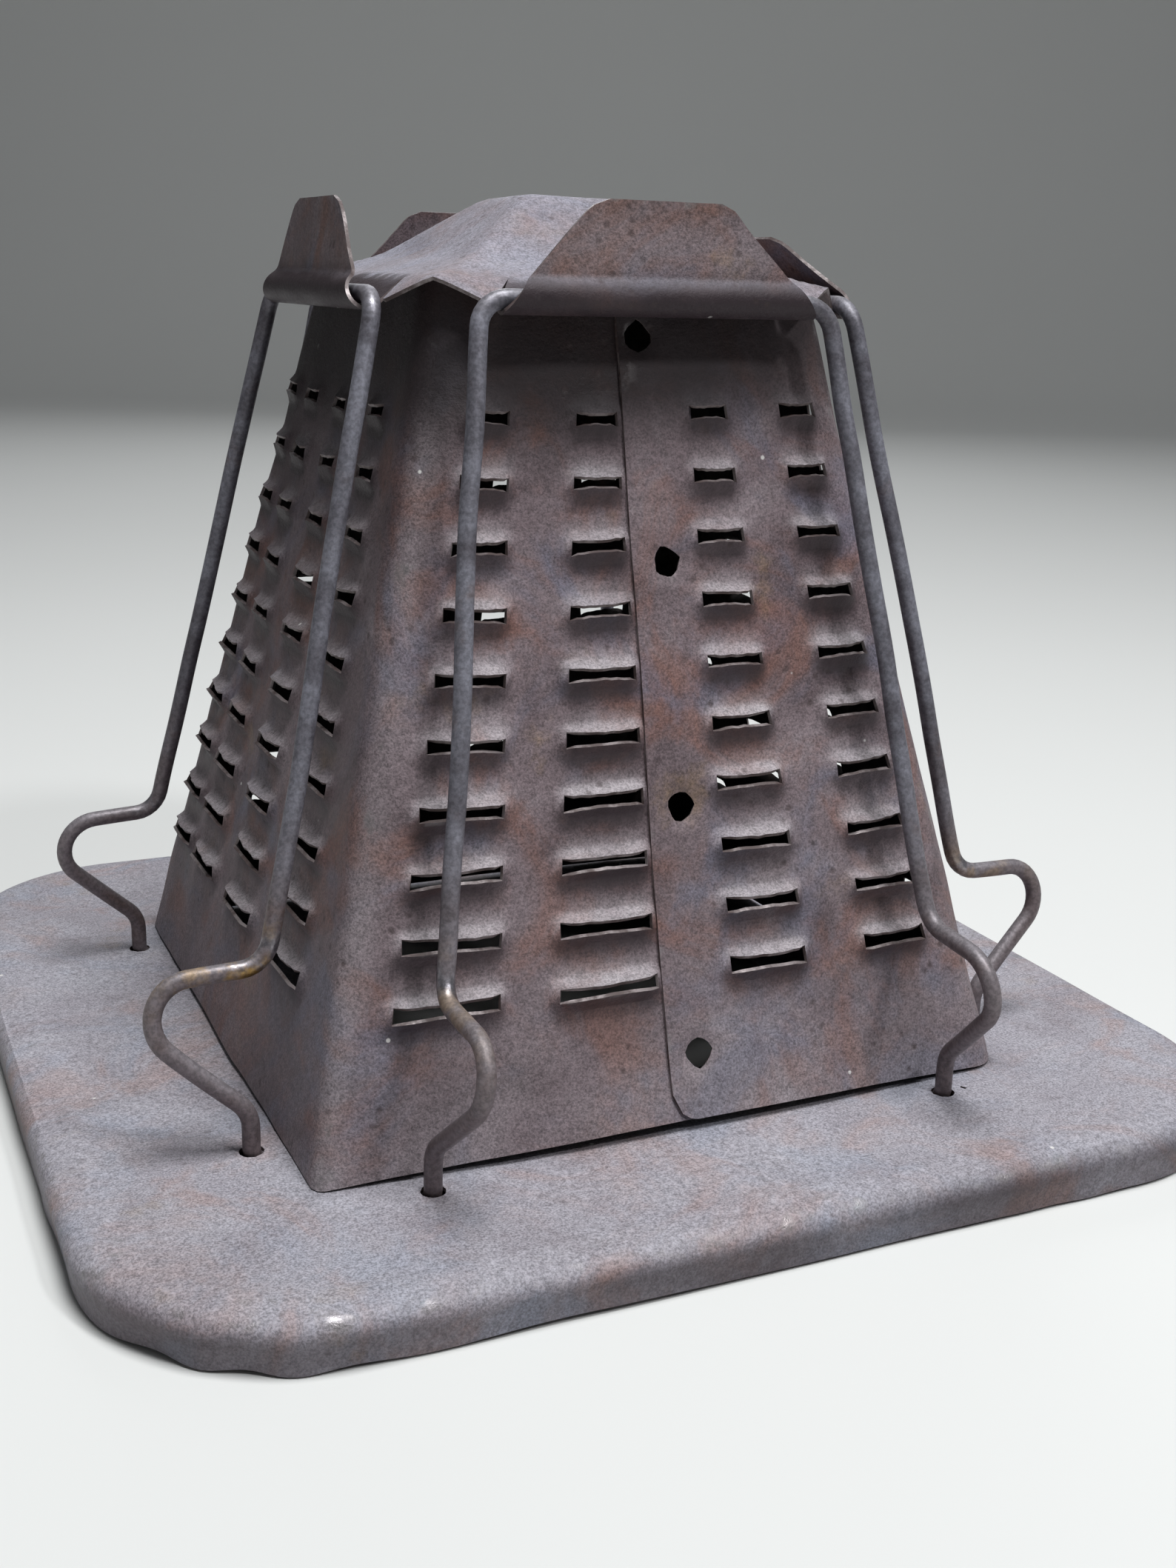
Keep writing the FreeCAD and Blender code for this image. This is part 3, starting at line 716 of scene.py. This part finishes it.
def outline_radius(angles, inset):
    """Distance from the pan's middle to its rounded-square outline, drawn in by an inset."""
    c, s = np.abs(np.cos(angles)), np.abs(np.sin(angles))
    half, corner = PAN_HALF - inset, PAN_CORNER - inset
    straight = half / np.maximum(c, s)
    centre = half - corner
    in_corner = straight * np.minimum(c, s) > centre
    under_root = np.maximum((centre * (c + s)) ** 2 - 2 * centre**2 + corner**2, 0)
    return np.where(in_corner, centre * (c + s) + np.sqrt(under_root), straight)


def even_angles(count):
    """Angles round the pan that are evenly spaced along its outline."""
    fine = np.linspace(0, 2 * math.pi, 20001)
    radius = outline_radius(fine, 0)
    x, y = radius * np.cos(fine), radius * np.sin(fine)
    along = np.concatenate([[0], np.cumsum(np.hypot(np.diff(x), np.diff(y)))])
    return np.interp(np.linspace(0, along[-1], count + 1)[:-1], along, fine)


def edge_profile():
    """The pan's turned-down edge from the flat top: pairs of inset and drop."""
    bend = np.linspace(0, math.pi / 2, 9)
    profile = [(PAN_EDGE * (1 - math.sin(a)), PAN_EDGE * (1 - math.cos(a))) for a in bend]
    return profile + [(0.0, d) for d in np.linspace(PAN_EDGE, PAN_HEIGHT, 8)[1:]]


def build_pan(materials):
    around, rings = 560, 46
    angles = even_angles(around)
    spoke = np.stack([np.cos(angles), np.sin(angles)], 1)
    flat_edge = outline_radius(angles, PAN_EDGE)[:, None] * spoke + PAN_CENTRE
    hole_angles = np.arctan2(flat_edge[:, 1], flat_edge[:, 0])
    hole_edge = BURNER_RADIUS * np.stack([np.cos(hole_angles), np.sin(hole_angles)], 1)
    rows = [np.column_stack([hole_edge + (flat_edge - hole_edge) * t, np.zeros(around)])
            for t in np.linspace(0, 1, rings)[:-1]]
    drops = [np.zeros(around)] * (rings - 1)
    for inset, drop in edge_profile():
        ring = outline_radius(angles, inset)[:, None] * spoke + PAN_CENTRE
        rows.append(np.column_stack([ring, np.full(around, -drop)]))
        drops.append(np.full(around, drop))
    points = np.concatenate(rows)
    drop = np.concatenate(drops)
    count = len(rows)

    k, i = np.meshgrid(np.arange(count - 1), np.arange(around), indexing="ij")
    a, b = (k * around + i).ravel(), (k * around + (i + 1) % around).ravel()
    faces = np.stack([a, a + around, b + around, b], axis=1)

    flat = points[:, :2]
    feet = [(x, y) for x in (FOOT_SIDE, -FOOT_SIDE) for y in (FOOT_OUT, -FOOT_OUT)]
    for foot in feet + [(y, x) for x, y in feet]:
        faces = punch(flat, faces, np.array(foot), lambda a: np.full_like(a, FOOT_HOLE_RADIUS))
    pin = np.array([FOOT_SIDE + PIN_HOLE_GAP, -FOOT_OUT])
    nearest = np.argmin(np.hypot(*(flat[faces].mean(axis=1) - pin).T))
    spokes = flat[faces[nearest]] - pin
    flat[faces[nearest]] = pin + spokes / np.hypot(*spokes.T)[:, None] * PIN_HOLE_RADIUS
    faces = np.delete(faces, nearest, axis=0)
    points[:, :2] = flat

    offset = points[:, :2] - PAN_CENTRE
    bearing = np.arctan2(offset[:, 1], offset[:, 0])
    outward = np.column_stack([np.cos(bearing), np.sin(bearing)])
    edge_distance = outline_radius(bearing, 0) - np.hypot(*offset.T)
    low = smoothstep(1.0, PAN_HEIGHT, drop)

    sag = 0.22 * (1 + wobble(points, 42, 11)) + 0.05 * (1 + wobble(points, 13, 12))
    points[:, 2] -= np.clip(sag, 0, 0.6) * (drop < 0.5)
    points[:, 2] += RIDGE_RISE * np.exp(-(((edge_distance - RIDGE_INSET) / 1.7) ** 2))

    crumple = np.zeros(len(points))
    for corner, strength in ((225, 1.0), (315, 0.35), (135, 0.4), (45, 0.4)):
        swing = np.degrees(np.abs(np.angle(np.exp(1j * (bearing - math.radians(corner))))))
        crumple += strength * (1 - smoothstep(8, 30, swing))
    folds = 0.5 + 0.5 * np.sin(bearing * 38 + 2.2 * np.sin(bearing * 11))
    lean_in = 0.15 + 0.25 * (1 + wobble(points, 45, 13)) + crumple * (0.10 + 0.85 * folds)
    points[:, :2] -= outward * (np.clip(lean_in, 0, None) * low)[:, None]
    raised = crumple * (0.05 + 0.50 * folds) + np.clip(0.55 + 0.65 * wobble(points, 55, 14), 0, 1.2)
    points[:, 2] += raised * low
    dented = np.clip(0.12 * (1 + wobble(points, 20, 15)), 0, None) * (drop > 0.5)
    points[:, :2] -= outward * dented[:, None]

    # Worn along the shoulder and the ridge; smoke and painted shade down the rim's side and inside
    # the tower; smoked about the tower's foot and along the shoulder near the front right corner.
    shoulder = np.exp(-(((drop - 1.2) / 1.5) ** 2)) * (edge_distance < 6)
    wear = 0.50 * shoulder * np.clip(0.7 + 0.6 * wobble(points, 35, 16), 0, None)
    # Smoke and painted shade: the rim's outward side darkens towards its bottom.
    smoked_and_shaded = 0.84 * smoothstep(1.4, 4.8, drop) * np.clip(0.85 + 0.3 * wobble(points, 28, 17), 0, None)
    square = np.max(np.abs(points[:, :2]), axis=1) - TOWER_HALF
    smoked_and_shaded += 0.45 * np.exp(-np.clip(square, 0, None) / 1.6) * (drop < 0.5)
    # Soot and painted shade on the pan's top inside the tower.
    smoked_and_shaded += 0.55 * (square < -1.5)
    front_right = np.exp(-(((np.degrees(bearing) + 62) / 20) ** 2))
    smoked_and_shaded += 0.62 * front_right * np.exp(-(((drop - 2.2) / 1.9) ** 2)) * (edge_distance < 3)
    wear += 0.20 * np.exp(-(((edge_distance - RIDGE_INSET) / 2.0) ** 2))
    attributes = {"wear": np.clip(wear, 0, 1), "soot_and_shade": np.clip(smoked_and_shaded, 0, 1)}
    pan = mesh_object("pan_sheet", points, faces, materials, attributes)
    weld(pan, 0.001)
    thicken(pan, PAN_SHEET)
    finish_piece(pan, "base_pan")


# ---------------------------------------------------------------- cap

DOME_TOP, DOME_FOOT, DOME_FOOT_HEIGHT = 10.0, 25.0, 141.6
EAVES, EAVES_HEIGHT = 36.0, 138.0
ARM_TIP, ARM_TIP_SIDE = 6.0, 28.3
ARM_SHARES = np.linspace(0, 0.93, 6)  # the arms stop short of their tips, which are cropped
BAR_OUT, BAR_HEIGHT, BAR_SIDE = 43.9, 134.8, 31.1
WIRE = 1.5  # the rack wire's radius
ROLL_RADIUS, ROLL_OUT, ROLL_UP = 2.6, 0.3, 0.7
FLAP_HALF, TAB_TAPER, TAB_LENGTH, TAB_CORNER = 27.8, 0.95, 11.3, 1.9
TAB_LEAN = {"front": 95, "right": 132, "back": 97, "left": 93}
SLOT = FLAP_HALF - TAB_TAPER * (EAVES_HEIGHT - BAR_HEIGHT + WIRE)


def roll_approach():
    """The straight run from the eaves to the curl: its length and its angle, which is downward."""
    gap = complex(BAR_OUT + ROLL_OUT - EAVES, BAR_HEIGHT + ROLL_UP - EAVES_HEIGHT)
    length = abs(gap)
    angle = math.atan2(gap.imag, gap.real) - math.asin(ROLL_RADIUS / length)
    return math.sqrt(length**2 - ROLL_RADIUS**2), angle


def roof_height(x, y):
    """Height of the cap's top face, with its folds and hips softly rounded."""
    x, y = np.abs(x), np.abs(y)
    reach = np.maximum(x, y)
    power = 28 + 110 * smoothstep(20, EAVES - 3, reach)
    round_reach = (x**power + y**power) ** (1 / power)
    fall = math.tan(roll_approach()[1])
    spots = (0, DOME_TOP, DOME_FOOT, EAVES, EAVES + 10)
    heights = (CAP_TOP, CAP_TOP - 0.2, DOME_FOOT_HEIGHT, EAVES_HEIGHT, EAVES_HEIGHT + 10 * fall)
    softness = 1.4 * (1 - smoothstep(22, 34, reach)) + 0.4
    steps = np.linspace(-1, 1, 9)
    softened = sum(np.interp(np.abs(round_reach + s * softness), spots, heights) for s in steps)
    return softened / len(steps)


def unit(angle):
    """One step at an angle, in a side view whose points are complex numbers."""
    return complex(math.cos(angle), math.sin(angle))


def flap_line(lean):
    """The flap in side view, as points out from the axis and up, along the face that holds the bar.

    With each point go how far it has climbed from the bar's underside and how far it is from the
    tab's top, which is -1 below the tab.
    """
    run, heading = roll_approach()
    here = complex(EAVES, EAVES_HEIGHT - SHEET / 2)
    over_bar = math.radians(140)
    bends = ((ROLL_RADIUS, over_bar - heading, 22), (2.0, math.radians(lean) - over_bar, 6))
    line = [here + unit(heading) * run * t for t in np.linspace(0, 1, 6)]
    headings = [heading] * len(line)
    here = line[-1]
    for number, (radius, swing, steps) in enumerate(bends):
        side = math.copysign(1, swing)
        centre = here + unit(heading) * 1j * radius * side
        for step in range(1, steps + 1):
            turn = swing * step / steps
            line.append(centre + (here - centre) * unit(turn))
            headings.append(heading + turn)
        here, heading = line[-1], heading + swing
        if number == 0:
            here += unit(heading) * 0.5
    length = np.linspace(0, TAB_LENGTH, 12)[1:]
    line += [here + unit(heading) * d for d in length]
    headings += [heading] * len(length)
    face = [p + unit(h) * 1j * SHEET / 2 for p, h in zip(line, headings)]
    below_tab = len(line) - len(length)
    climb = [at.imag - BAR_HEIGHT + WIRE for at in face[:below_tab]]
    climb += [climb[-1] + d for d in length]
    return face, climb, [-1.0] * below_tab + list(TAB_LENGTH - length)


def build_cap(materials):
    points, faces, wear, soot_and_shade_level = [], [], [], []

    def add_grid(columns):
        """Append a grid given as columns of points."""
        start = sum(len(p) for p in points)
        rows = len(columns[0])
        points.append(np.array([p for column in columns for p in column], float))
        faces.append(grid_faces(len(columns), rows, start))

    inner = np.linspace(-SLOT, SLOT, 31)
    outer = np.linspace(SLOT, EAVES, 9)
    lines = np.concatenate([-outer[::-1], inner[1:-1], outer])
    roof = [[(x, y, float(roof_height(x, y))) for y in lines] for x in lines]
    add_grid(roof)
    wear.append(np.zeros(len(lines) ** 2))
    soot_and_shade_level.append(np.zeros(len(lines) ** 2))

    for turn, side in enumerate(SIDES):
        face, climb, from_top = flap_line(TAB_LEAN[side])
        columns = []
        for share in np.linspace(1, -1, 31):
            column = []
            for at, climbed, top in zip(face, climb, from_top):
                half = min(FLAP_HALF, FLAP_HALF - TAB_TAPER * climbed)
                if 0 <= top < TAB_CORNER:
                    half -= TAB_CORNER - math.sqrt(TAB_CORNER**2 - (TAB_CORNER - top) ** 2)
                column.append((at.real, share * half, at.imag))
            column[0] = (EAVES, share * SLOT, float(roof_height(EAVES, share * SLOT)))
            columns.append(turned(column, turn - 1))
        add_grid(columns)
        raised = np.array([0.10 if top < 0 else 0.10 + 0.4 * math.exp(-top) for top in from_top])
        wear.append(np.tile(raised, len(columns)))
        # Painted shade: the whole left flap darkened, and the downward-facing lower part of each roll.
        left_flap_shade = 0.35 if side == "left" else 0.0
        rise = np.array([at.imag for at in face]) - BAR_HEIGHT
        soot_and_shade_level.append(np.tile(left_flap_shade + 1.3 * (1 - smoothstep(0.5, 5.5, rise)), len(columns)))
        for sign in (-1, 1):
            columns = []
            for y in outer[:: sign]:
                column = []
                for t in ARM_SHARES:
                    x = EAVES + ARM_TIP * t
                    side_y = y + (ARM_TIP_SIDE - y) * t
                    column.append((x, sign * side_y, float(roof_height(x, side_y))))
                columns.append(turned(column, turn - 1))
            add_grid(columns[::-1])
            wear.append(np.full(len(outer) * len(ARM_SHARES), 0.15))
            soot_and_shade_level.append(np.zeros(len(outer) * len(ARM_SHARES)))

    points = np.concatenate(points)
    faces = np.concatenate(faces)
    wear, soot_and_shade_level = np.concatenate(wear), np.concatenate(soot_and_shade_level)
    reach = np.max(np.abs(points[:, :2]), axis=1)
    loose = smoothstep(EAVES - 4, EAVES + 3, reach)
    rough = np.column_stack([wobble(points, 26, s) for s in (21, 22, 23)])
    points[:, 2] -= 0.28 * (1 + rough[:, 2]) * (1 - loose)
    tab = smoothstep(BAR_HEIGHT + 4, BAR_HEIGHT + 14, points[:, 2]) * loose
    points[:, :2] += rough[:, :2] * tab[:, None] * 0.9
    cap = mesh_object("cap_sheet", points, faces, materials, {"wear": wear, "soot_and_shade": soot_and_shade_level})
    weld(cap, 0.05)
    thicken(cap, SHEET)
    finish_piece(cap, "top_cap")


# ---------------------------------------------------------------- racks

REST_OUT, REST_SIDE, REST_HEIGHT = 95.0, 44.4, 29.0
LEG_OUT, LEG_SIDE, LEG_HEIGHT = 67.2, 45.2, 30.6
UNDER_PAN = -PAN_SHEET - WIRE - 0.1
CLINCHED = 8.0
BEND_RADII = (2.5, 6, 6.5, 5.5, 5)
BEND_WEAR = (0, 0, 0.15, 0.55, 0.75, 0.35)  # at the corners of one side, from foot to bar


def rack_corners():
    """The bends of the front rack, from one clinched foot over the top bar to the other."""
    side = [
        Vector((FOOT_SIDE, -FOOT_OUT + CLINCHED, UNDER_PAN)),
        Vector((FOOT_SIDE, -FOOT_OUT, UNDER_PAN)),
        Vector((FOOT_SIDE, -FOOT_OUT, 7)),
        Vector((REST_SIDE, -REST_OUT, REST_HEIGHT)),
        Vector((LEG_SIDE, -LEG_OUT, LEG_HEIGHT)),
        Vector((BAR_SIDE, -BAR_OUT, BAR_HEIGHT)),
    ]
    return side + [Vector((-p.x, p.y, p.z)) for p in reversed(side)]


def rounded_route(corners, radii):
    """Points along straight runs joined by arcs, about a millimetre and a half apart."""
    route = [corners[0]]

    def run_to(point):
        start = route[-1].copy()
        steps = max(1, round((point - start).length / 1.6))
        route.extend(start.lerp(point, k / steps) for k in range(1, steps + 1))

    for before, corner, after, radius in zip(corners, corners[1:], corners[2:], radii):
        towards, away = (before - corner).normalized(), (after - corner).normalized()
        half = towards.angle(away) / 2
        reach = radius / math.tan(half)
        centre = corner + (towards + away).normalized() * (radius / math.sin(half))
        run_to(corner + towards * reach)
        spoke, end = route[-1] - centre, corner + away * reach - centre
        swing = spoke.angle(end)
        axis = spoke.cross(end).normalized()
        steps = max(4, round(swing * radius / 1.1))
        angles = [swing * k / steps for k in range(1, steps + 1)]
        route.extend(centre + Matrix.Rotation(angle, 3, axis) @ spoke for angle in angles)
    run_to(corners[-1])
    return route


def tube(route, radius, sides=18):
    """The points and faces of a round wire along a route, with blunt, slightly rounded ends."""
    route = [Vector(p) for p in route]
    runs = [(b - a).normalized() for a, b in zip(route, route[1:])]
    tangents = [runs[0], *((a + b).normalized() for a, b in zip(runs, runs[1:])), runs[-1]]
    across = tangents[0].orthogonal().normalized()
    rings = []
    for at, ahead in zip(route, tangents):
        across = (across - ahead * across.dot(ahead)).normalized()
        rings.append((at, across.copy(), ahead.cross(across)))
    inset = ((0.0, 0.55), (0.22, 0.85), (0.6, 1.0))
    ends = [(rings[0][0] + tangents[0] * radius * d, *rings[0][1:], s) for d, s in inset]
    tail = [(rings[-1][0] - tangents[-1] * radius * d, *rings[-1][1:], s) for d, s in reversed(inset)]
    rings = ends + [(*r, 1.0) for r in rings[1:-1]] + tail
    points = []
    for at, u, v, share in rings:
        for k in range(sides):
            a = 2 * math.pi * k / sides
            points.append(at + (u * math.cos(a) + v * math.sin(a)) * radius * share)
    faces = []
    for r in range(len(rings) - 1):
        for k in range(sides):
            n = (k + 1) % sides
            faces.append((r * sides + k, r * sides + n, (r + 1) * sides + n, (r + 1) * sides + k))
    faces.append(tuple(reversed(range(sides))))
    faces.append(tuple((len(rings) - 1) * sides + k for k in range(sides)))
    return np.array([tuple(p) for p in points]), faces


def build_rack(turn, side, material):
    corners = rack_corners()
    route = np.array([tuple(p) for p in rounded_route(corners, BEND_RADII + BEND_RADII[::-1])])
    height = route[:, 2]
    free = smoothstep(6, 20, height) * (1 - smoothstep(BAR_HEIGHT - 22, BAR_HEIGHT - 6, height))
    for axis in range(3):
        broad = wobble(route, 46, 31 + 7 * turn + axis)
        fine = wobble(route, 15, 60 + 3 * turn + axis)
        limit = 0.35 if axis == 1 else 1.0
        route[:, axis] += (0.75 * broad + 0.16 * fine) * free * limit
    points, faces = tube(route, WIRE)

    wear = np.full(len(points), 0.06)
    for corner, strength in zip(corners, BEND_WEAR + BEND_WEAR[::-1]):
        near = np.linalg.norm(points - np.array(corner), axis=1)
        wear += strength * np.exp(-((near / 6.5) ** 2))
    bend, strength = (corners[4], 1.0) if side == "left" else (corners[7], 0.35)
    away = (points - np.array(bend)) / (9.0, 15.0, 6.0)
    rust = strength * np.exp(-np.sum(away**2, axis=1))
    placed = turned(points, turn)
    rack = mesh_object(f"rack_{side}", placed, faces, [material], {"wear": wear, "rust": rust})
    rack.data.set_sharp_from_angle(angle=math.radians(WIRE_CREASE))
    finish_piece(rack, f"rack_wire_{side}")


# ---------------------------------------------------------------- studio

# The camera: metres from the middle of the pan's footprint; angles in degrees.
CAMERA_PLACE = Vector((-0.13206, -0.30832, 0.14697))
CAMERA_AZIMUTH, CAMERA_ELEVATION, CAMERA_ROLL = -24.8455, 16.1057, 1.5619
LENS = 40.13  # millimetres, on a sensor 36 mm wide
LIT_POINT = Vector((0, 0, 0.07))


def build_floor():
    """A plain pale floor that sweeps up into a plain pale wall behind."""
    n = Nodes("studio_floor")
    tone = n.mix(n.noise(3.0, detail=3), (0.665, 0.67, 0.655), (0.69, 0.695, 0.68))
    n.surface("Base Color", tone)
    n.surface("Roughness", 0.9)
    sweep = bmesh.new()
    bend, reach, side = 0.6, 1.6, 4.0
    profile = [(-reach * 2, 0.0), (reach, 0.0)]
    for k in range(1, 13):
        a = math.pi / 2 * k / 12
        profile.append((reach + bend * math.sin(a), bend * (1 - math.cos(a))))
    profile.append((reach + bend, 3.5))
    left = [sweep.verts.new((-side, y, z)) for y, z in profile]
    right = [sweep.verts.new((side, y, z)) for y, z in profile]
    for k in range(len(profile) - 1):
        sweep.faces.new((left[k], right[k], right[k + 1], left[k + 1]))
    mesh = bpy.data.meshes.new("studio_floor")
    sweep.to_mesh(mesh)
    sweep.free()
    mesh.shade_smooth()
    mesh.materials.append(n.material)
    floor = placed_object("studio_floor", mesh)
    floor.location.z = cad_low.z
    floor.rotation_euler.z = math.radians(CAMERA_AZIMUTH)


def area_light(name, place, size, power, tone):
    """A round lamp that points at the object."""
    light = bpy.data.lights.new(name, "AREA")
    light.shape = "DISK"
    light.size = size
    light.energy = power
    light.color = tone
    lamp = placed_object(name, light)
    lamp.location = place
    lamp.rotation_euler = (LIT_POINT - Vector(place)).to_track_quat("-Z", "Y").to_euler()


def build_lights():
    world = bpy.data.worlds.new("studio")
    world.use_nodes = True
    background = world.node_tree.nodes["Background"]
    background.inputs["Color"].default_value = (0.93, 0.96, 1.0, 1.0)
    background.inputs["Strength"].default_value = 0.12
    bpy.context.scene.world = world
    area_light("top_light", (0.04, -0.20, 1.1), 0.5, 12.3, (0.975, 0.99, 1.0))
    area_light("side_light", (0.38, -0.76, 0.96), 0.14, 4.2, (0.97, 0.98, 1.0))
    area_light("back_fill", (0.45, 1.15, 0.8), 0.7, 2.8, (0.96, 0.98, 1.0))


def build_camera():
    camera = bpy.data.cameras.new("photo_view")
    camera.lens = LENS
    camera.sensor_width = 36
    camera.clip_start = 0.01
    a, e = math.radians(CAMERA_AZIMUTH), math.radians(CAMERA_ELEVATION)
    back = Vector((math.sin(a) * math.cos(e), -math.cos(a) * math.cos(e), math.sin(e)))
    level = (-back).cross(Vector((0, 0, 1))).normalized()
    upright = level.cross(-back)
    roll = Matrix.Rotation(-math.radians(CAMERA_ROLL), 3, -back)
    right, up = roll @ level, roll @ upright
    turn = Matrix((right, up, back)).transposed().to_4x4()
    holder = placed_object("photo_view", camera)
    holder.matrix_world = Matrix.Translation(CAMERA_PLACE) @ turn
    bpy.context.scene.camera = holder


# ---------------------------------------------------------------- the whole scene


def build_object():
    edge = raw_edge("sheared_edge")
    inside = soot_and_shade("soot_and_shade_inside")
    tower_tin = aged_tin(
        "tower_tin",
        dark=(0.090, 0.062, 0.068),
        mid=(0.165, 0.125, 0.136),
        light=(0.262, 0.220, 0.236),
        rust=(0.190, 0.088, 0.066),
        blue=(0.118, 0.130, 0.185),
        dust_and_highlight=(0.33, 0.30, 0.315),
        dust_share=0.55,
        # smoke and painted shade under the cap's overhang, between these heights in metres
        smoke_and_shade_band=(0.110, 0.137),
        sheen=0.2,
    )
    pan_tin = aged_tin(
        "pan_tin",
        dark=(0.195, 0.162, 0.180),
        mid=(0.275, 0.254, 0.286),
        light=(0.340, 0.332, 0.374),
        rust=(0.290, 0.185, 0.165),
        blue=(0.235, 0.262, 0.330),
        dust_and_highlight=(0.39, 0.385, 0.42),
        dust_share=0.50,
        pitting=0.3,
        sheen=0.9,
    )
    cap_tin = aged_tin(
        "cap_tin",
        dark=(0.095, 0.068, 0.074),
        mid=(0.150, 0.118, 0.126),
        light=(0.205, 0.172, 0.186),
        rust=(0.170, 0.090, 0.070),
        blue=(0.130, 0.140, 0.190),
        dust_and_highlight=(0.290, 0.288, 0.335),
        dust_share=0.78,
        sheen=0.3,
    )
    build_tower([tower_tin, edge, inside])
    build_pan([pan_tin, edge, inside])
    build_cap([cap_tin, edge, cap_tin])
    wire = rack_wire("rack_steel")
    for turn, side in enumerate(SIDES):
        build_rack(turn, side, wire)


bpy.context.scene.view_settings.view_transform = "Standard"
build_object()
build_floor()
build_lights()
build_camera()
